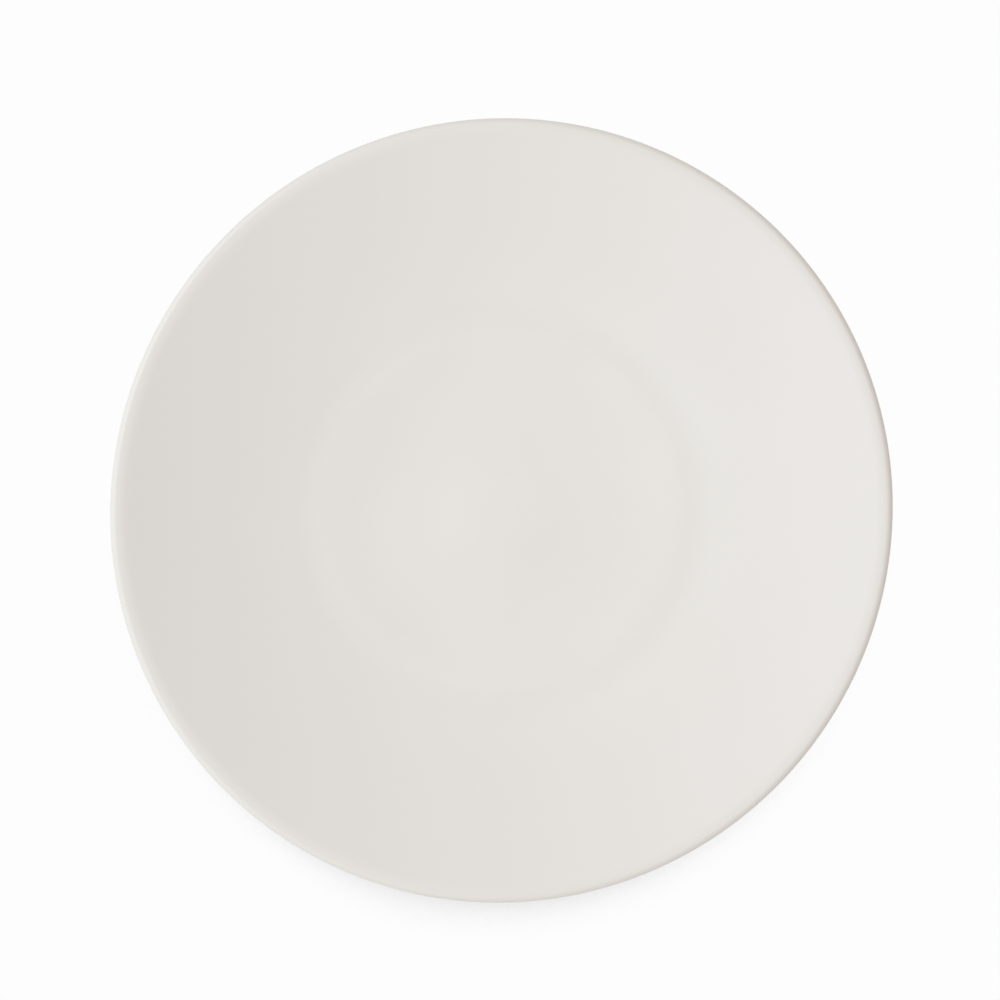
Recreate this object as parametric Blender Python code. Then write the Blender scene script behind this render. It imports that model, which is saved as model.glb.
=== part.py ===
"""A round coupe charger plate in glazed porcelain, lying face up on its foot ring.

The porcelain body is one turned section: a well with a faint crown, a flank that climbs from a soft crease
to a rolled lip, and a foot ring below. Glaze covers all of it except the foot ring's bearing edge, which is
wiped clean before firing. That bare edge parts the glaze into two coats: one over the face, lip and outer
underside, and one over the base inside the foot ring.

Units are metres, +Z is up, and the origin is the centre of the foot ring on the table.
"""

import math
from itertools import pairwise

import bmesh
import bpy
from mathutils import Vector
from mathutils.geometry import interpolate_bezier

# The glazed plate
PLATE_RADIUS = 0.1575
PLATE_HEIGHT = 0.0260
OVAL_SHARE = 0.0052  # firing draws one diameter out by this share and the one across it in
OVAL_TURN = math.radians(52)  # direction of the longer diameter, from +X

# The glaze
GLAZE = 0.0004
SEAT_GAP = 0.0003  # between a coat and the porcelain it is fused to
SKIN = GLAZE + SEAT_GAP
GLAZE_LINE = 0.0012  # height above the table where both coats stop

# The porcelain face, from the centre outwards: where its slope changes, and the slope there in degrees
CROWN_RADIUS = 0.022  # side of the faint dome at the centre
CROWN_SLOPE = -2.7
TROUGH_RADIUS = 0.0395  # lowest circle of the well
SWELL_RADIUS = 0.067
SWELL_SLOPE = 5.1
WELL_RADIUS = 0.0764  # edge of the well, nearly flat again before the crease
WELL_EDGE_SLOPE = 2.1
FLANK_RADIUS = 0.086  # the crease has bent up into the flank
FLANK_START_SLOPE = 9.0
FLANK_END_SLOPE = 14.8  # where the flank rolls into the lip

# The lip, measured inwards from the rim and downwards from the crest
SHOULDER_INSET = 0.0062
CREST_INSET = 0.0022
EDGE_DROP = 0.0021
UNDER_LIP_INSET = 0.0030
LIP_THICKNESS = 0.0041

# The underside and the foot ring, with slopes in degrees
FLANK_THICKNESS = 0.0042  # beside the foot ring
UNDERSIDE_SLOPE = 8.0  # beside the foot ring
FOOT_RADIUS = 0.0826  # middle of the bearing edge
BEARING_WIDTH = 0.0030
BEARING_ROUND = 0.0006
FOOT_DRAFT = 8.0  # lean of each wall of the foot ring
FOOT_FILLET = 0.0030
BASE_HEIGHT = 0.0042  # recess inside the foot ring
BASE_ARCH = 0.0003  # further rise of the recess at its centre

# Facets
TURN_STEPS = 70
HANDLE_SHARE = 0.38  # length of a curve's handles, as a share of its chord
SHARP_ANGLE = math.radians(50)  # edges that turn by more stay crisp
MERGE_DISTANCE = 1e-6

# Finishes
PORCELAIN_COLOUR = (0.78, 0.76, 0.72)
PORCELAIN_ROUGHNESS = 0.75
GLAZE_COLOUR = (0.79, 0.77, 0.72)
GLAZE_ROUGHNESS = 0.25

BODY_RADIUS = PLATE_RADIUS - SKIN
BODY_HEIGHT = PLATE_HEIGHT - SKIN


def rise(slope):
    """Height gained for each unit of radius on a slope in degrees."""
    return math.tan(math.radians(slope))


def station(radius, height, heading):
    """A point of the section and the way the outline runs there, in degrees: 0 is outwards, 90 is up."""
    angle = math.radians(heading)
    return Vector((radius, height)), Vector((math.cos(angle), math.sin(angle)))


def curve(start, end, steps):
    """Points after start and up to end, on a cubic that leaves and arrives along the two headings."""
    (first, leaving), (last, arriving) = start, end
    handle = HANDLE_SHARE * (last - first).length
    points = interpolate_bezier(first, first + leaving * handle, last - arriving * handle, last, steps + 1)
    return points[1:-1] + [last]


def face_stations():
    """Stations of the porcelain face from its centre to the lip's crest, and the facets up to each of them.

    Heights follow from the slopes: the face climbs between two stations by the mean of their slopes.
    """
    marks = [
        (0, 0, 0),
        (CROWN_RADIUS, CROWN_SLOPE, 2),
        (TROUGH_RADIUS, 0, 2),
        (SWELL_RADIUS, SWELL_SLOPE, 2),
        (WELL_RADIUS, WELL_EDGE_SLOPE, 1),
        (FLANK_RADIUS, FLANK_START_SLOPE, 2),
        (BODY_RADIUS - SHOULDER_INSET, FLANK_END_SLOPE, 4),
        (BODY_RADIUS - CREST_INSET, 0, 2),
    ]
    heights = [0]
    for (inner, inner_slope, _), (outer, outer_slope, _) in pairwise(marks):
        heights.append(heights[-1] + (outer - inner) * (rise(inner_slope) + rise(outer_slope)) / 2)
    lift = BODY_HEIGHT - max(heights)
    return [(station(r, h + lift, slope), steps) for (r, slope, steps), h in zip(marks, heights)]


def foot_wall(side, height):
    """A station on the foot ring's outer wall, side 1 and running down, or inner wall, side -1, running up."""
    reach = BEARING_WIDTH / 2 + BEARING_ROUND + height * rise(FOOT_DRAFT)
    return station(FOOT_RADIUS + side * reach, height, -side * (90 + FOOT_DRAFT))


def foot_shoulder(flank_start):
    """Where the underside turns down into the foot ring's outer wall, below the start of the flank."""
    radius = foot_wall(1, FOOT_FILLET + GLAZE_LINE)[0].x + FOOT_FILLET
    face = flank_start.y + (radius - flank_start.x) * rise(FLANK_START_SLOPE)
    return station(radius, face - FLANK_THICKNESS, UNDERSIDE_SLOPE - 180)


def face_line():
    """The porcelain under the outer coat, from the well's centre over the lip to the outer glaze line."""
    stations = face_stations()
    line = [stations[0][0][0]]
    for (start, _), (end, steps) in pairwise(stations):
        line += curve(start, end, steps)
    flank_start = next(place for (place, _), _ in stations if place.x >= FLANK_RADIUS)
    crest = stations[-1][0]
    edge = station(BODY_RADIUS, BODY_HEIGHT - EDGE_DROP, -90)
    under_lip = station(BODY_RADIUS - UNDER_LIP_INSET, BODY_HEIGHT - LIP_THICKNESS, FLANK_END_SLOPE - 180)
    shoulder = foot_shoulder(flank_start)
    wall = foot_wall(1, FOOT_FILLET + GLAZE_LINE)
    line += curve(crest, edge, 5)
    line += curve(edge, under_lip, 3)
    line += curve(under_lip, shoulder, 4)
    line += curve(shoulder, wall, 3)
    line.append(foot_wall(1, GLAZE_LINE)[0])
    return line


def bearing_line():
    """The bare edge that the plate stands on, between the two glaze lines."""
    outer_wall = foot_wall(1, BEARING_ROUND)
    outer = station(FOOT_RADIUS + BEARING_WIDTH / 2, 0, 180)
    inner = station(FOOT_RADIUS - BEARING_WIDTH / 2, 0, 180)
    line = [outer_wall[0]]
    line += curve(outer_wall, outer, 2)
    line.append(inner[0])
    line += curve(inner, foot_wall(-1, BEARING_ROUND), 2)
    return line


def base_line():
    """The porcelain under the base coat, from the inner glaze line to the centre of the recess."""
    wall_top = foot_wall(-1, BASE_HEIGHT - FOOT_FILLET / 2)
    recess_edge = station(wall_top[0].x - FOOT_FILLET, BASE_HEIGHT, 180)
    recess_centre = station(0, BASE_HEIGHT + BASE_ARCH, 180)
    line = [foot_wall(-1, GLAZE_LINE)[0], wall_top[0]]
    line += curve(wall_top, recess_edge, 3)
    line += curve(recess_edge, recess_centre, 2)
    return line


def raised(line, distance):
    """The line moved off the porcelain by distance, each point along the mitre of its two sides."""
    moved = []
    for i, point in enumerate(line):
        sides = [line[k + 1] - line[k] for k in (i - 1, i) if 0 <= k < len(line) - 1]
        normals = [Vector((-side.y, side.x)).normalized() for side in sides]
        mitre = sum(normals, Vector((0, 0))).normalized()
        moved.append(point + mitre * (distance / mitre.dot(normals[0])))
        if point.x == 0:
            moved[-1].x = 0
    return moved


def coat_section(line):
    """The outline of the glaze on the line, from the axis out along one side and back along the other."""
    surface = raised(line, SKIN)
    seat = raised(line, SEAT_GAP)
    if line[0].x == 0:
        return surface + seat[::-1]
    return seat[::-1] + surface


def turned(name, section, finish, axis):
    """A solid turned about the plate's axis from its section, whose two ends lie on that axis."""
    shape = bmesh.new()
    corners = [shape.verts.new((point.x, 0, point.y)) for point in section]
    sides = [shape.edges.new(pair) for pair in pairwise(corners)]
    bmesh.ops.spin(
        shape,
        geom=corners + sides,
        cent=(0, 0, 0),
        axis=(0, 0, 1),
        angle=2 * math.pi,
        steps=TURN_STEPS,
        use_merge=True,
    )
    bmesh.ops.remove_doubles(shape, verts=shape.verts[:], dist=MERGE_DISTANCE)
    bmesh.ops.recalc_face_normals(shape, faces=shape.faces[:])
    mesh = bpy.data.meshes.new(name)
    shape.to_mesh(mesh)
    shape.free()
    mesh.shade_smooth()
    mesh.set_sharp_from_angle(angle=SHARP_ANGLE)
    mesh.materials.append(finish)
    piece = bpy.data.objects.new(name, mesh)
    bpy.context.scene.collection.objects.link(piece)
    piece.parent = axis
    return piece


def plain_finish(name, colour, roughness):
    """A fired ceramic surface of one colour."""
    finish = bpy.data.materials.new(name)
    finish.use_nodes = True
    shader = finish.node_tree.nodes["Principled BSDF"]
    shader.inputs["Base Color"].default_value = (*colour, 1)
    shader.inputs["Roughness"].default_value = roughness
    shader.inputs["Metallic"].default_value = 0
    return finish


def plate_axis():
    """The plate's axis, turned and scaled so that all it carries is slightly out of round."""
    axis = bpy.data.objects.new("plate_axis", None)
    bpy.context.scene.collection.objects.link(axis)
    axis.rotation_euler.z = OVAL_TURN
    axis.scale = (1 + OVAL_SHARE, 1 - OVAL_SHARE, 1)
    return axis


def main():
    for old in list(bpy.data.objects):
        bpy.data.objects.remove(old)
    axis = plate_axis()
    body_section = face_line() + bearing_line() + base_line()
    bare = plain_finish("bare_porcelain", PORCELAIN_COLOUR, PORCELAIN_ROUGHNESS)
    turned("porcelain_body", body_section, bare, axis)
    outer_glaze = plain_finish("ivory_glaze", GLAZE_COLOUR, GLAZE_ROUGHNESS)
    turned("glaze_coat", coat_section(face_line()), outer_glaze, axis)
    inner_glaze = plain_finish("base_ivory_glaze", GLAZE_COLOUR, GLAZE_ROUGHNESS)
    turned("base_glaze", coat_section(base_line()), inner_glaze, axis)


main()
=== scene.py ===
"""A charger plate in ivory-glazed porcelain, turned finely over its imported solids, on a white studio floor.

Units are metres and +Z is up. The plate lies face up on its foot ring, whose centre is the origin. Seen from
above, +X is the right of the picture and +Y is its top.
"""

import math
from itertools import pairwise

import bmesh
import bpy
from bpy.props import FloatProperty, FloatVectorProperty, IntProperty, PointerProperty
from mathutils import Matrix, Vector
from mathutils.geometry import interpolate_bezier


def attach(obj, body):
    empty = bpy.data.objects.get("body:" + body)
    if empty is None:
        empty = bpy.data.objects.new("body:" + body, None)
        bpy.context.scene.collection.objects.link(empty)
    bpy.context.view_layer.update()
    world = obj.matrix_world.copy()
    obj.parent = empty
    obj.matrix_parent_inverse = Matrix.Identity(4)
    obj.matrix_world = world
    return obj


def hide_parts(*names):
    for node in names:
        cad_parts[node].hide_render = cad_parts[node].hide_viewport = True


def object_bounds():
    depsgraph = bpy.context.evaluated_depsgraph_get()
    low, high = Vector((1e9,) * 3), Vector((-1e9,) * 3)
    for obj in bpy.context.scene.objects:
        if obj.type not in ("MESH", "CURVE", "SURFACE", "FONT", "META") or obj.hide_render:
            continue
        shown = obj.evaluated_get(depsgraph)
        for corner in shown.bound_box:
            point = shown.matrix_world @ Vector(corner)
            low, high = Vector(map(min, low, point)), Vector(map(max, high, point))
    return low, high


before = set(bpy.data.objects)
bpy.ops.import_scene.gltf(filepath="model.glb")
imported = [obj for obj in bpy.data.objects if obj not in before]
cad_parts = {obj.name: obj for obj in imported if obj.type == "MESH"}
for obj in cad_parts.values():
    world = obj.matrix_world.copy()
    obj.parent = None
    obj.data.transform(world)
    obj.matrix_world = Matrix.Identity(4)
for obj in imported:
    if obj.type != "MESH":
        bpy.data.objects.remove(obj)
CAD_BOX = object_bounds()

bl_info = {
    "name": "Charger Plate",
    "version": (1, 0, 0),
    "blender": (4, 5, 0),
    "location": "3D View > Sidebar > Plate",
    "description": "Turns a glazed porcelain charger plate and sets it on a white studio floor",
    "category": "Add Mesh",
}

# Firing draws one diameter out by this share and the one across it in
OVAL_SHARE = 0.0052
OVAL_TURN = math.radians(52)

# Facets of a turned section
FACET_LENGTH = 0.004
FACET_TURN = math.radians(4)
HANDLE_SHARE = 0.38  # length of a curve's handles, as a share of its chord
MERGE_DISTANCE = 1e-6

# Waves of the wiped glaze line, as a count round the foot ring and a phase
WANDER_WAVES = ((2, 0.4), (5, 2.1), (9, 4.4), (14, 1.3))

# Noise values at which a patch starts and is full
CLOUD_PATCH = (0.35, 0.75)
GRIT_PATCH = (0.62, 0.74)
WEAR_PATCH = (0.35, 0.70)

# The stage
FLOOR_SIDES = 128
SHADOW_SAMPLES = 12

# Rays that see the stage as a plain white background
SEEN_BY = ("Is Camera Ray", "Is Glossy Ray", "Is Transmission Ray")


def round_radius():
    """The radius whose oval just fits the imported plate's box."""
    half = (CAD_BOX[1] - CAD_BOX[0]) / 2
    across, along = math.cos(OVAL_TURN), math.sin(OVAL_TURN)
    width = math.hypot((1 + OVAL_SHARE) * across, (1 - OVAL_SHARE) * along)
    depth = math.hypot((1 + OVAL_SHARE) * along, (1 - OVAL_SHARE) * across)
    return min(half.x / width, half.y / depth)


def size(name, description, default):
    """A length in metres that the user can change."""
    return FloatProperty(name=name, description=description, default=default, precision=5, unit="LENGTH")


def angle(name, description, degrees):
    """An angle that the user can change, given in degrees."""
    return FloatProperty(name=name, description=description, default=math.radians(degrees), subtype="ANGLE")


def share(name, description, default):
    """A number from 0 to 1 that the user can change."""
    return FloatProperty(name=name, description=description, default=default, min=0, max=1, subtype="FACTOR")


def tint(name, description, default):
    """A linear colour that the user can change."""
    return FloatVectorProperty(
        name=name, description=description, default=default, min=0, max=2, size=3, subtype="COLOR"
    )


class PlateSizes(bpy.types.PropertyGroup):
    """Measures of the plate, most of them on the porcelain under the glaze."""

    radius: size("Radius", "Mean radius over the glaze", round_radius())
    height: size("Height", "From the table to the lip's crest, over the glaze", CAD_BOX[1].z)
    skin: size("Skin", "From the porcelain up to the surface of the glaze", 0.0007)
    seat: size("Seat", "From the porcelain to the underside of the glaze", 0.00005)
    crown_radius: size("Crown radius", "Side of the faint dome at the well's centre", 0.022)
    crown_slope: angle("Crown slope", "Slope at the crown's side", -2.7)
    trough_radius: size("Trough radius", "Lowest circle of the well", 0.0395)
    swell_radius: size("Swell radius", "Where the well climbs fastest", 0.067)
    swell_slope: angle("Swell slope", "Slope where the well climbs fastest", 5.1)
    well_radius: size("Well radius", "Edge of the well, before the crease", 0.0764)
    well_edge_slope: angle("Well edge slope", "Slope at the edge of the well", 2.1)
    flank_radius: size("Flank radius", "Where the crease has bent up into the flank", 0.086)
    flank_start_slope: angle("Flank start slope", "Slope at the foot of the flank", 9.0)
    flank_end_slope: angle("Flank end slope", "Slope where the flank rolls into the lip", 14.8)
    shoulder_inset: size("Shoulder inset", "From the rim in to where the lip starts to roll", 0.0062)
    crest_inset: size("Crest inset", "From the rim in to the lip's highest circle", 0.0022)
    edge_drop: size("Edge drop", "From the crest down to the widest circle", 0.0021)
    under_lip_inset: size("Under-lip inset", "From the rim in to where the lip joins the underside", 0.0030)
    lip_thickness: size("Lip thickness", "From the crest down to the underside of the lip", 0.0041)
    flank_thickness: size("Flank thickness", "Wall beside the foot ring", 0.0042)
    underside_slope: angle("Underside slope", "Slope of the underside beside the foot ring", 8.0)
    foot_radius: size("Foot radius", "Middle of the bearing edge", 0.0826)
    foot_draft: angle("Foot draft", "Lean of the foot ring's walls", 8.0)
    foot_fillet: size("Foot fillet", "Where the foot ring's walls meet the underside", 0.0030)
    bearing_width: size("Bearing width", "Flat of the bearing edge", 0.0030)
    bearing_round: size("Bearing round", "Rounding at both sides of the bearing edge", 0.0006)
    base_height: size("Base height", "Depth of the recess inside the foot ring", 0.0042)
    base_arch: size("Base arch", "Further rise of the recess at its centre", 0.0003)
    glaze_line: size("Glaze line", "Height above the table where the wiped glaze stops", 0.0012)
    glaze_roll: size("Glaze roll", "Height over which the glaze rounds off to its line", 0.0007)
    glaze_bite: size("Glaze bite", "How far the glaze's edge reaches into the porcelain", 0.00003)
    glaze_wander: size("Glaze wander", "How far the wiped line strays up and down", 0.00012)
    wander_reach: size("Wander reach", "Height above the line over which the coat is even again", 0.0016)
    turn_steps: IntProperty(name="Turn steps", description="Facets round the plate", default=210, min=3)


class PlateColours(bpy.types.PropertyGroup):
    """Colours of the fired surfaces, with painted shade in the crease and partly at the lip."""

    glaze: tint("Glaze", "Ivory glaze at its full thickness, in the well", (0.784, 0.764, 0.726))
    flank: tint("Flank", "Ivory glaze that has drained thinner on the flank", (0.774, 0.748, 0.717))
    cloud: tint("Cloud", "Ivory glaze in the faint clouds", (0.769, 0.746, 0.707))
    # Painted shade: a darker glaze colour for the crease between well and flank.
    pool: tint("Pool", "Glaze that has run together in a crease", (0.763, 0.741, 0.708))
    # The lip's darker, warmer colour is partly thin glaze and partly painted shade at the rim's edge.
    lip: tint("Lip", "Thin glaze on the lip", (0.762, 0.732, 0.674))
    porcelain: tint("Porcelain", "Bare fired porcelain", (0.770, 0.745, 0.700))
    grain: tint("Grain", "Darker grains in the bare porcelain", (0.640, 0.610, 0.560))
    rubbed: tint("Rubbed", "Bearing edge greyed by tables", (0.560, 0.545, 0.520))
    flash: tint("Flash", "Warm line that firing leaves beside the glaze", (0.740, 0.650, 0.540))


class SurfaceSettings(bpy.types.PropertyGroup):
    """Clouds, gloss and grain of the fired surfaces."""

    cloud_spacing: size("Cloud spacing", "Between the faint clouds in the glaze", 0.05)
    cloud_share: share("Cloud share", "How far a cloud takes on its own colour", 0.6)
    drain_reach: size("Drain reach", "From the foot of the flank out to where its glaze is thinnest", 0.03)
    # Reach and strength of the painted shade in the crease.
    crease_shade_reach: size("Pool reach", "From the crease to each side of the glaze that pools in it", 0.004)
    crease_shade_share: share("Pool share", "How far the glaze in the crease takes on the pool's colour", 0.4)
    lip_reach: size("Lip reach", "From the rim in to where the glaze starts to thin", 0.0045)
    # This share also sets how far painted shade darkens the lip.
    lip_glaze_and_shade_share: share("Lip share", "How far the glaze on the lip takes on the lip's colour", 0.6)
    glaze_roughness: share("Glaze roughness", "Roughness of the glaze where it is glossiest", 0.22)
    streak_spacing: size("Streak spacing", "Between the duller streaks of the glaze", 0.012)
    streak_dulling: share("Streak dulling", "Roughness that a streak adds", 0.06)
    lip_dulling: share("Lip dulling", "Roughness that the thin glaze on the lip adds", 0.05)
    ripple_spacing: size("Ripple spacing", "Between the broad ripples of the glaze", 0.009)
    dimple_spacing: size("Dimple spacing", "Between the fine dimples of the glaze", 0.0022)
    dimple_share: share("Dimple share", "Share of the dimples in the glaze's unevenness", 0.3)
    ripple_depth: size("Ripple depth", "Depth of the ripples and dimples", 0.00002)
    bare_roughness: share("Porcelain roughness", "Roughness of the bare porcelain where it is dullest", 0.82)
    grain_spacing: size("Grain spacing", "Between the grains of the bare porcelain", 0.0006)
    grain_polish: share("Grain polish", "Roughness that a grain takes away", 0.08)
    grit_spacing: size("Grit spacing", "Between the darker grains of the bare porcelain", 0.0017)
    grit_share: share("Grit share", "Share of the darker grains in the porcelain's tooth", 0.4)
    tooth_depth: size("Tooth depth", "Depth of the bare porcelain's grains", 0.00005)
    flash_height: size("Flash height", "Height of the warm line below the glaze", 0.0006)
    flash_share: share("Flash share", "How far the line beside the glaze takes on the flash's colour", 0.5)
    wear_height: size("Wear height", "Height to which tables have rubbed the bearing edge", 0.0003)
    wear_spacing: size("Wear spacing", "Between the rubbed patches of the bearing edge", 0.008)
    wear_share: share("Wear share", "How far a rubbed patch takes on its own colour", 0.7)
    wear_polish: share("Wear polish", "Roughness that rubbing takes away", 0.12)


class StageSettings(bpy.types.PropertyGroup):
    """The white stage, the light of the room and the camera."""

    white: share("White", "Level of the background", 0.982)
    floor_radius: size("Floor radius", "Radius of the floor", 4.0)
    floor_drop: size("Floor drop", "Gap under the foot ring", 0.0001)
    floor_bounce: share("Floor bounce", "Share of its light that the floor gives back", 0.5)
    recess_light: share("Recess light", "Light of the floor inside the foot ring", 0.25)
    contact_reach: size("Contact reach", "How near the floor the plate darkens it fully", 0.02)
    shadow_reach: size("Shadow reach", "How far the plate's soft shadow spreads", 0.045)
    shadow_depth: share("Shadow depth", "How dark the soft shadow is", 0.48)
    shadow_lean: angle("Shadow lean", "Lean of the soft shadow towards -Y", 70)
    shadow_edge: share("Shadow edge", "Open share of the room where the soft shadow starts", 0.68)
    shadow_core: share("Shadow core", "Open share of the room where the soft shadow is full", 0.45)
    bright_tint: tint("Bright side", "Light of the room's bright side", (1.327, 1.378, 1.41))
    dim_tint: tint("Dim side", "Light of the room's dim side", (0.225, 0.111, 0.04))
    room_heading: angle("Room heading", "Direction of the room's bright side, from +X", 187)
    room_elevation: angle("Room elevation", "Height of the room's bright side", 28)
    key_share: share("Key share", "Light of the large soft lamp on the flat of the plate", 0.05)
    key_tint: tint("Key colour", "Colour of the large soft lamp", (0.90, 1.0, 1.08))
    key_heading: angle("Key heading", "Direction of the large lamp, from +X", 150)
    key_elevation: angle("Key elevation", "Height of the large lamp over the floor", 32)
    key_distance: size("Key distance", "From the plate to the large lamp", 4.0)
    key_side: size("Key side", "Side of the large lamp", 2.4)
    lens: FloatProperty(name="Lens", description="Focal length", default=100, unit="CAMERA")
    frame_fill: share("Frame fill", "Plate's diameter as a share of the picture", 0.784)
    camera_x: size("Camera x", "Offset of the camera from the plate's axis", -0.0006)
    camera_y: size("Camera y", "Offset of the camera from the plate's axis", 0.0042)


def station(radius, height, heading):
    """A point of the section and the way the outline runs there: 0 is outwards, a quarter turn is up."""
    return Vector((radius, height)), Vector((math.cos(heading), math.sin(heading)))


def lifted(stations, distance):
    """The stations moved off the porcelain, square to the way they run."""
    return [(place + Vector((-way.y, way.x)) * distance, way) for place, way in stations]


def curve(start, end):
    """Points after start and up to end, on a cubic that leaves and arrives along the two ways."""
    (first, leaving), (last, arriving) = start, end
    chord = (last - first).length
    steps = 1 + math.ceil(chord / FACET_LENGTH + leaving.angle(arriving) / FACET_TURN)
    handle = HANDLE_SHARE * chord
    points = interpolate_bezier(first, first + leaving * handle, last - arriving * handle, last, steps + 1)
    return points[1:-1] + [last]


def outline(stations):
    """Points along the tangent curves that join the stations."""
    points = [stations[0][0]]
    for start, end in pairwise(stations):
        points += curve(start, end)
    return points


def face_stations(sizes):
    """Stations of the porcelain face from its centre to the lip's crest.

    Heights follow from the slopes: the face climbs between two stations by the mean of their slopes.
    """
    rim = sizes.radius - sizes.skin
    marks = [
        (0, 0),
        (sizes.crown_radius, sizes.crown_slope),
        (sizes.trough_radius, 0),
        (sizes.swell_radius, sizes.swell_slope),
        (sizes.well_radius, sizes.well_edge_slope),
        (sizes.flank_radius, sizes.flank_start_slope),
        (rim - sizes.shoulder_inset, sizes.flank_end_slope),
        (rim - sizes.crest_inset, 0),
    ]
    heights = [0]
    for (inner, inner_slope), (outer, outer_slope) in pairwise(marks):
        climb = (math.tan(inner_slope) + math.tan(outer_slope)) / 2
        heights.append(heights[-1] + (outer - inner) * climb)
    lift = sizes.height - sizes.skin - max(heights)
    return [station(radius, height + lift, slope) for (radius, slope), height in zip(marks, heights)]


def foot_wall(sizes, side, height):
    """A station on a wall of the foot ring: side 1 runs down the outer wall, side -1 up the inner one."""
    reach = sizes.bearing_width / 2 + sizes.bearing_round + height * math.tan(sizes.foot_draft)
    return station(sizes.foot_radius + side * reach, height, -side * (math.pi / 2 + sizes.foot_draft))


def outer_stations(sizes, wall_end):
    """Stations of the porcelain from the well's centre over the lip and down the foot ring to a height."""
    face = face_stations(sizes)
    rim, crest = sizes.radius - sizes.skin, sizes.height - sizes.skin
    wall_top = foot_wall(sizes, 1, sizes.foot_fillet + sizes.glaze_line)
    shoulder_radius = wall_top[0].x + sizes.foot_fillet
    flank_start = next(place for place, _ in face if place.x > sizes.well_radius)
    flank_height = flank_start.y + (shoulder_radius - flank_start.x) * math.tan(sizes.flank_start_slope)
    return face + [
        station(rim, crest - sizes.edge_drop, -math.pi / 2),
        station(rim - sizes.under_lip_inset, crest - sizes.lip_thickness, sizes.flank_end_slope - math.pi),
        station(shoulder_radius, flank_height - sizes.flank_thickness, sizes.underside_slope - math.pi),
        wall_top,
        foot_wall(sizes, 1, wall_end),
    ]


def bearing_stations(sizes):
    """Stations of the bare edge that the plate stands on, from the outer wall to the inner one."""
    return [
        foot_wall(sizes, 1, sizes.bearing_round),
        station(sizes.foot_radius + sizes.bearing_width / 2, 0, math.pi),
        station(sizes.foot_radius - sizes.bearing_width / 2, 0, math.pi),
        foot_wall(sizes, -1, sizes.bearing_round),
    ]


def recess_stations(sizes, wall_end):
    """Stations of the porcelain from a height on the foot ring's inner wall to the centre of the recess."""
    wall_top = foot_wall(sizes, -1, sizes.base_height - sizes.foot_fillet / 2)
    return [
        foot_wall(sizes, -1, wall_end),
        wall_top,
        station(wall_top[0].x - sizes.foot_fillet, sizes.base_height, math.pi),
        station(0, sizes.base_height + sizes.base_arch, math.pi),
    ]


def glaze_edge(sizes, side):
    """The station where a coat ends on a wall of the foot ring, running into the porcelain or out of it."""
    wall = foot_wall(sizes, side, sizes.glaze_line)
    place, way = lifted([wall], -sizes.glaze_bite)[0]
    return place, Vector((way.y, -way.x)) * side


def turned(section, sizes):
    """A mesh turned about the plate's axis from a section whose two ends lie on that axis."""
    shape = bmesh.new()
    corners = [shape.verts.new((point.x, 0, point.y)) for point in section]
    sides = [shape.edges.new(pair) for pair in pairwise(corners)]
    bmesh.ops.spin(
        shape,
        geom=corners + sides,
        cent=(0, 0, 0),
        axis=(0, 0, 1),
        angle=2 * math.pi,
        steps=sizes.turn_steps,
        use_merge=True,
    )
    bmesh.ops.remove_doubles(shape, verts=shape.verts[:], dist=MERGE_DISTANCE)
    bmesh.ops.recalc_face_normals(shape, faces=shape.faces[:])
    return shape


def stray(shape, sizes):
    """Lets the wiped edge of a coat wander up and down, and settles it into the even coat above."""
    for vert in shape.verts:
        left = 1 - max(0, (vert.co.z - sizes.glaze_line) / sizes.wander_reach)
        if left > 0:
            turn = math.atan2(vert.co.y, vert.co.x)
            swing = sum(math.sin(count * turn + phase) for count, phase in WANDER_WAVES)
            vert.co.z += sizes.glaze_wander * swing * left**2


def placed(name, shape, finish, node):
    """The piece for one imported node: the shape drawn slightly oval, smooth and finished."""
    oval = Matrix.Rotation(OVAL_TURN, 4, "Z") @ Matrix.Diagonal((1 + OVAL_SHARE, 1 - OVAL_SHARE, 1, 1))
    bmesh.ops.transform(shape, matrix=oval, verts=shape.verts[:])
    mesh = bpy.data.meshes.new(name)
    shape.to_mesh(mesh)
    shape.free()
    mesh.shade_smooth()
    mesh.materials.append(finish)
    piece = bpy.data.objects.new(name, mesh)
    bpy.context.scene.collection.objects.link(piece)
    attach(piece, "root")
    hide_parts(node)


class Wire:
    """An output of a node, on which arithmetic adds Math nodes to the same tree."""

    def __init__(self, tree, output=None):
        self.tree = tree
        self.output = output

    def node(self, kind, settings=None, sockets=None, output=0):
        """Adds a node, sets its settings and then its sockets, and gives the wire of one of its outputs."""
        made = self.tree.nodes.new(kind)
        for name, value in (settings or {}).items():
            setattr(made, name, value)
        for name, value in (sockets or {}).items():
            if isinstance(value, Wire):
                self.tree.links.new(value.output, made.inputs[name])
            else:
                made.inputs[name].default_value = value
        return Wire(self.tree, made.outputs[output] if made.outputs else None)

    def math(self, operation, first, second):
        """The wire of a Math node on two values."""
        return self.node("ShaderNodeMath", {"operation": operation}, {0: first, 1: second})

    def __add__(self, other):
        return self.math("ADD", self, other)

    def __radd__(self, other):
        return self.math("ADD", other, self)

    def __sub__(self, other):
        return self.math("SUBTRACT", self, other)

    def __rsub__(self, other):
        return self.math("SUBTRACT", other, self)

    def __mul__(self, other):
        return self.math("MULTIPLY", self, other)

    def __rmul__(self, other):
        return self.math("MULTIPLY", other, self)


def cleared(tree):
    """The wire that starts an empty tree."""
    tree.nodes.clear()
    return Wire(tree)


def new_finish(name):
    """An empty material and the wire that starts its tree."""
    finish = bpy.data.materials.new(name)
    finish.use_nodes = True
    return finish, cleared(finish.node_tree)


def opaque(colour):
    """A colour with its alpha."""
    return (*colour, 1)


def smooth(value, start, end):
    """0 where the value is at start, 1 where it is at end, with soft ends."""
    reach = {"Value": value, "From Min": start, "From Max": end}
    return value.node("ShaderNodeMapRange", {"interpolation_type": "SMOOTHSTEP"}, reach)


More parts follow.
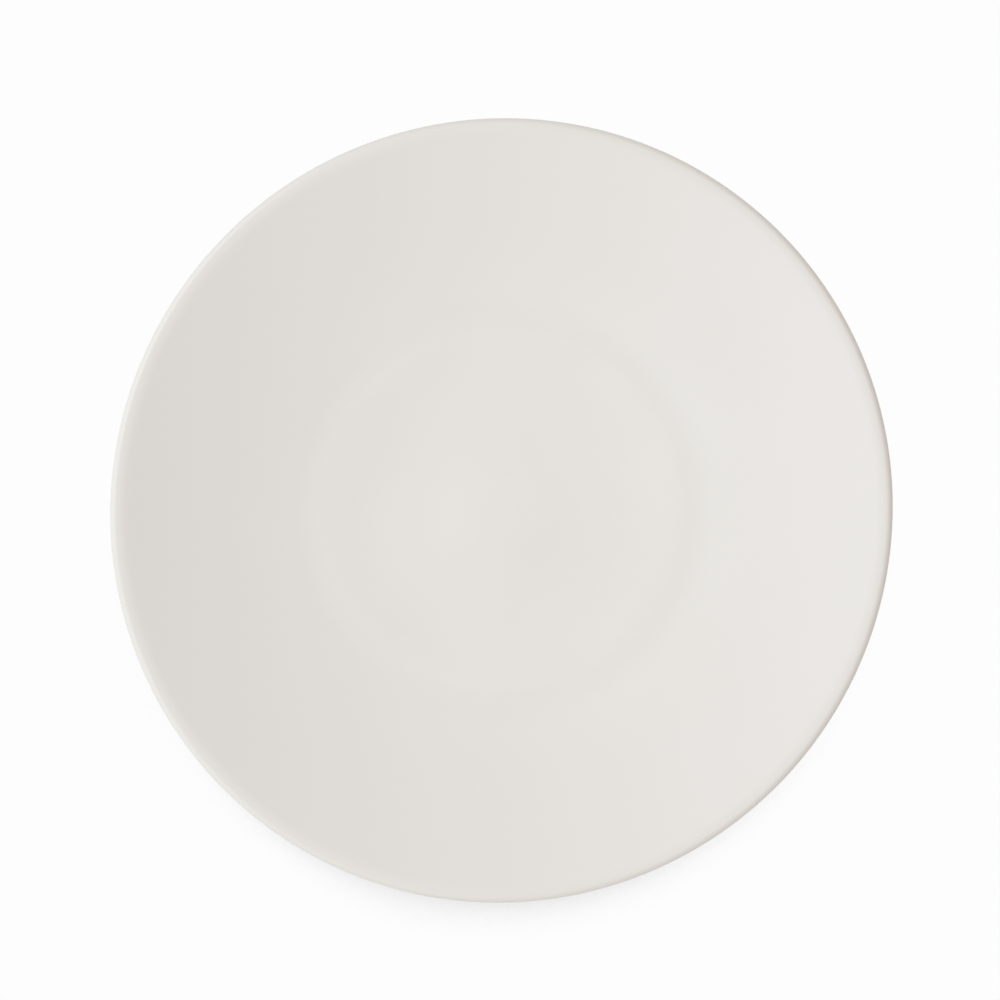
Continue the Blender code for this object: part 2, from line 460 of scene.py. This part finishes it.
def clouds(place, spacing, detail=2.0):
    """Soft noise from 0 to 1 with patches of about that spacing."""
    return place.node(
        "ShaderNodeTexNoise", {"normalize": True}, {"Vector": place, "Scale": 1 / spacing, "Detail": detail}
    )


def blend(factor, first, second):
    """The first colour, going over to the second as the factor goes from 0 to 1."""
    return factor.node("ShaderNodeMix", {"data_type": "RGBA"}, {0: factor, 6: first, 7: second}, output=2)


def axis_distance(place):
    """How far a point is from the plate's axis."""
    level = place.node("ShaderNodeVectorMath", {"operation": "MULTIPLY"}, {0: place, 1: (1, 1, 0)})
    return place.node("ShaderNodeVectorMath", {"operation": "LENGTH"}, {0: level}, output="Value")


def fired(wire, colour, roughness, relief, depth):
    """Ends a tree with a fired ceramic surface, whose relief from 0 to 1 is that deep."""
    normal = wire.node("ShaderNodeBump", None, {"Distance": depth, "Height": relief})
    looks = {"Base Color": colour, "Roughness": roughness, "Normal": normal}
    shader = wire.node("ShaderNodeBsdfPrincipled", None, looks)
    wire.node("ShaderNodeOutputMaterial", None, {"Surface": shader})


def ivory_glaze(name, scene):
    """Ivory glaze: clouded and softly rippled, full in the well, with painted shade in the crease, thin on
    flank and lip, and darker at the lip as thin glaze and painted shade.
    """
    sizes, colours, surface = scene.plate_sizes, scene.plate_colours, scene.plate_surface
    finish, wire = new_finish(name)
    place = wire.node("ShaderNodeTexCoord", output="Object")
    radius = axis_distance(place)
    drained = smooth(radius, sizes.well_radius, sizes.flank_radius + surface.drain_reach)
    # Painted shade: the glaze darkens in the crease between well and flank.
    into_crease_shade = smooth(radius, sizes.well_radius - surface.crease_shade_reach, sizes.well_radius)
    crease_shade_end = sizes.flank_radius + surface.crease_shade_reach
    crease_shaded = into_crease_shade - smooth(radius, sizes.well_radius + surface.crease_shade_reach, crease_shade_end)
    # The lip mask darkens the glaze's colour, partly as thin glaze and partly as painted shade at the rim's
    # edge, and dulls its roughness.
    lip = smooth(radius, sizes.radius - surface.lip_reach, sizes.radius)
    cloud = smooth(clouds(place, surface.cloud_spacing), *CLOUD_PATCH)
    colour = blend(drained, opaque(colours.glaze), opaque(colours.flank))
    colour = blend(surface.cloud_share * cloud, colour, opaque(colours.cloud))
    # Painted shade in the crease.
    colour = blend(surface.crease_shade_share * crease_shaded, colour, opaque(colours.pool))
    # Thin glaze and painted shade darken the lip.
    colour = blend(surface.lip_glaze_and_shade_share * lip, colour, opaque(colours.lip))
    streak = clouds(place, surface.streak_spacing)
    roughness = surface.glaze_roughness + surface.streak_dulling * streak + surface.lip_dulling * lip
    ripple = clouds(place, surface.ripple_spacing)
    dimple = clouds(place, surface.dimple_spacing)
    relief = (1 - surface.dimple_share) * ripple + surface.dimple_share * dimple
    fired(wire, colour, roughness, relief, surface.ripple_depth)
    return finish


def bare_porcelain(name, scene):
    """Unglazed porcelain: matt and grained, flashed warm beside the glaze, rubbed grey where it stands."""
    sizes, colours, surface = scene.plate_sizes, scene.plate_colours, scene.plate_surface
    finish, wire = new_finish(name)
    place = wire.node("ShaderNodeTexCoord", output="Object")
    height = wire.node("ShaderNodeSeparateXYZ", None, {0: place}, output="Z")
    grain = clouds(place, surface.grain_spacing, detail=4)
    grit = clouds(place, surface.grit_spacing, detail=1)
    wear = clouds(place, surface.wear_spacing, detail=3)
    flash = smooth(height, sizes.glaze_line - surface.flash_height, sizes.glaze_line)
    worn = smooth(height, surface.wear_height, 0) * smooth(wear, *WEAR_PATCH)
    colour = blend(smooth(grit, *GRIT_PATCH), opaque(colours.porcelain), opaque(colours.grain))
    colour = blend(surface.flash_share * flash, colour, opaque(colours.flash))
    colour = blend(surface.wear_share * worn, colour, opaque(colours.rubbed))
    roughness = surface.bare_roughness - surface.wear_polish * worn - surface.grain_polish * grain
    relief = (1 - surface.grit_share) * grain + surface.grit_share * grit
    fired(wire, colour, roughness, relief, surface.tooth_depth)
    return finish


def seen(wire):
    """1 for the rays that see the stage as a plain background, and 0 for those that carry its light."""
    rays = [wire.node("ShaderNodeLightPath", output=name) for name in SEEN_BY]
    return sum(rays[1:], rays[0])


def open_share(wire, reach, towards):
    """The share of the half room towards a vector in which nothing stands within reach of a point."""
    normal = wire.node("ShaderNodeCombineXYZ", None, dict(enumerate(towards)))
    sockets = {"Distance": reach, "Normal": normal}
    return wire.node("ShaderNodeAmbientOcclusion", {"samples": SHADOW_SAMPLES}, sockets, output="AO")


def recess_light(wire, sizes, stage):
    """A faint light of the floor inside the foot ring, where no other light comes in."""
    radius = axis_distance(wire.node("ShaderNodeTexCoord", output="Object"))
    half_edge = sizes.bearing_width / 2
    inside = smooth(radius, sizes.foot_radius + half_edge, sizes.foot_radius - half_edge)
    light = {"Color": opaque([stage.recess_light] * 3), "Strength": inside}
    return wire.node("ShaderNodeEmission", None, light)


def floor_finish(sizes, stage):
    """A white floor that keeps the plate's shadow, and that lets the plate be seen from below."""
    finish, wire = new_finish("studio_floor")
    paint = wire.node("ShaderNodeBsdfDiffuse", None, {"Color": opaque([stage.floor_bounce] * 3)})
    paint = wire.node("ShaderNodeAddShader", None, {0: paint, 1: recess_light(wire, sizes, stage)})
    black, white = opaque([0] * 3), opaque([stage.white] * 3)
    contact = open_share(wire, stage.contact_reach, (0, 0, 1))
    towards = (0, math.sin(stage.shadow_lean), math.cos(stage.shadow_lean))
    leaning = open_share(wire, stage.shadow_reach, towards)
    shadow = 1 - stage.shadow_depth * smooth(leaning, stage.shadow_edge, stage.shadow_core)
    glow = wire.node("ShaderNodeEmission", None, {"Color": blend(contact * shadow, black, white)})
    floor = wire.node("ShaderNodeMixShader", None, {0: seen(wire), 1: paint, 2: glow})
    below = wire.node("ShaderNodeNewGeometry", output="Backfacing")
    clear = wire.node("ShaderNodeBsdfTransparent")
    surface = wire.node("ShaderNodeMixShader", None, {0: below, 1: floor, 2: clear})
    wire.node("ShaderNodeOutputMaterial", None, {"Surface": surface})
    return finish


def lay_floor(sizes, stage):
    """The floor, a wide disc just under the foot ring."""
    shape = bmesh.new()
    bmesh.ops.create_circle(shape, cap_ends=True, radius=stage.floor_radius, segments=FLOOR_SIDES)
    bmesh.ops.translate(shape, vec=(0, 0, -stage.floor_drop), verts=shape.verts[:])
    mesh = bpy.data.meshes.new("studio_floor")
    shape.to_mesh(mesh)
    shape.free()
    mesh.materials.append(floor_finish(sizes, stage))
    floor = bpy.data.objects.new("studio_floor", mesh)
    bpy.context.scene.collection.objects.link(floor)


def direction(heading, elevation):
    """The unit vector towards a heading from +X and a height over the floor."""
    return Vector((math.cos(heading), math.sin(heading), math.tan(elevation))).normalized()


def light_world(stage):
    """White where it is seen, and a soft light that goes from a bright side to a dim one where it lights."""
    world = bpy.data.worlds.new("studio_world")
    world.use_nodes = True
    wire = cleared(world.node_tree)
    way = wire.node("ShaderNodeTexCoord", output="Generated")
    ways = {0: way, 1: direction(stage.room_heading, stage.room_elevation)}
    lean = wire.node("ShaderNodeVectorMath", {"operation": "DOT_PRODUCT"}, ways, output="Value")
    bright = wire.node("ShaderNodeBackground", None, {"Color": opaque(stage.bright_tint)})
    dim = wire.node("ShaderNodeBackground", None, {"Color": opaque(stage.dim_tint)})
    room = wire.node("ShaderNodeMixShader", None, {0: 0.5 + 0.5 * lean, 1: dim, 2: bright})
    white = wire.node("ShaderNodeBackground", None, {"Color": opaque([stage.white] * 3)})
    surface = wire.node("ShaderNodeMixShader", None, {0: seen(wire), 1: room, 2: white})
    wire.node("ShaderNodeOutputWorld", None, {"Surface": surface})
    bpy.context.scene.world = world


def hang_lamp(stage):
    """A large square lamp that faces the plate and gives its flat that share of light."""
    back = direction(stage.key_heading, stage.key_elevation)
    light = bpy.data.lights.new("key_lamp", "AREA")
    light.shape = "SQUARE"
    light.size = stage.key_side
    light.energy = stage.key_share * math.pi**2 * stage.key_distance**2 / math.sin(stage.key_elevation)
    light.color = stage.key_tint
    lamp = bpy.data.objects.new("key_lamp", light)
    lamp.location = back * stage.key_distance
    lamp.rotation_euler = back.to_track_quat("Z", "Y").to_euler()
    lamp.visible_camera = False
    bpy.context.scene.collection.objects.link(lamp)


def set_camera(sizes, stage):
    """A camera straight above the plate, far enough for the plate's rim to fill its share of the picture."""
    data = bpy.data.cameras.new("studio_camera")
    data.lens = stage.lens
    half_view = data.sensor_width / 2 / data.lens
    distance = sizes.radius / (stage.frame_fill * half_view)
    camera = bpy.data.objects.new("studio_camera", data)
    camera.location = (stage.camera_x, stage.camera_y, sizes.height - sizes.edge_drop + distance)
    bpy.context.scene.collection.objects.link(camera)
    bpy.context.scene.camera = camera


class PLATE_OT_porcelain(bpy.types.Operator):
    """Turn the porcelain body with its bare foot ring"""

    bl_idname = "plate.porcelain"
    bl_label = "Porcelain"

    def execute(self, context):
        sizes = context.scene.plate_sizes
        section = outline(outer_stations(sizes, sizes.glaze_line))
        section += outline(bearing_stations(sizes))
        section += outline(recess_stations(sizes, sizes.glaze_line))
        finish = bare_porcelain("bare_porcelain", context.scene)
        placed("plate_porcelain", turned(section, sizes), finish, "porcelain_body")
        return {"FINISHED"}


class PLATE_OT_face_glaze(bpy.types.Operator):
    """Coat the face, the lip and the outer underside down to the foot ring's glaze line"""

    bl_idname = "plate.face_glaze"
    bl_label = "Face glaze"

    def execute(self, context):
        sizes = context.scene.plate_sizes
        stations = outer_stations(sizes, sizes.glaze_line + sizes.glaze_roll)
        section = outline(lifted(stations, sizes.skin) + [glaze_edge(sizes, 1)])
        section += outline(lifted(stations, sizes.seat))[::-1]
        shape = turned(section, sizes)
        stray(shape, sizes)
        finish = ivory_glaze("face_ivory_glaze", context.scene)
        placed("plate_face_glaze", shape, finish, "glaze_coat")
        return {"FINISHED"}


class PLATE_OT_recess_glaze(bpy.types.Operator):
    """Coat the recess inside the foot ring"""

    bl_idname = "plate.recess_glaze"
    bl_label = "Recess glaze"

    def execute(self, context):
        sizes = context.scene.plate_sizes
        stations = recess_stations(sizes, sizes.glaze_line + sizes.glaze_roll)
        section = outline(lifted(stations, sizes.seat))[::-1]
        section += outline([glaze_edge(sizes, -1)] + lifted(stations, sizes.skin))
        shape = turned(section, sizes)
        stray(shape, sizes)
        finish = ivory_glaze("recess_ivory_glaze", context.scene)
        placed("plate_recess_glaze", shape, finish, "base_glaze")
        return {"FINISHED"}


class PLATE_OT_stage(bpy.types.Operator):
    """Lay the white floor, light the plate and look down on it"""

    bl_idname = "plate.stage"
    bl_label = "Stage"

    def execute(self, context):
        scene = context.scene
        sizes, stage = scene.plate_sizes, scene.plate_stage
        scene.view_settings.view_transform = "Standard"
        lay_floor(sizes, stage)
        light_world(stage)
        hang_lamp(stage)
        set_camera(sizes, stage)
        return {"FINISHED"}


class PLATE_PT_panel(bpy.types.Panel):
    """The plate's pieces and measures"""

    bl_idname = "PLATE_PT_panel"
    bl_label = "Charger Plate"
    bl_space_type = "VIEW_3D"
    bl_region_type = "UI"
    bl_category = "Plate"

    def draw(self, context):
        for operator in OPERATORS:
            self.layout.operator(operator.bl_idname)
        scene = context.scene
        for group in (scene.plate_sizes, scene.plate_colours, scene.plate_surface, scene.plate_stage):
            box = self.layout.box()
            for name in group.__annotations__:
                box.prop(group, name)


OPERATORS = (PLATE_OT_porcelain, PLATE_OT_face_glaze, PLATE_OT_recess_glaze, PLATE_OT_stage)
CLASSES = (PlateSizes, PlateColours, SurfaceSettings, StageSettings, *OPERATORS, PLATE_PT_panel)


def register():
    for each in CLASSES:
        bpy.utils.register_class(each)
    bpy.types.Scene.plate_sizes = PointerProperty(type=PlateSizes)
    bpy.types.Scene.plate_colours = PointerProperty(type=PlateColours)
    bpy.types.Scene.plate_surface = PointerProperty(type=SurfaceSettings)
    bpy.types.Scene.plate_stage = PointerProperty(type=StageSettings)


def unregister():
    del bpy.types.Scene.plate_stage
    del bpy.types.Scene.plate_surface
    del bpy.types.Scene.plate_colours
    del bpy.types.Scene.plate_sizes
    for each in reversed(CLASSES):
        bpy.utils.unregister_class(each)


def main():
    register()
    bpy.ops.plate.porcelain()
    bpy.ops.plate.face_glaze()
    bpy.ops.plate.recess_glaze()
    bpy.ops.plate.stage()


if __name__ == "__main__":
    main()
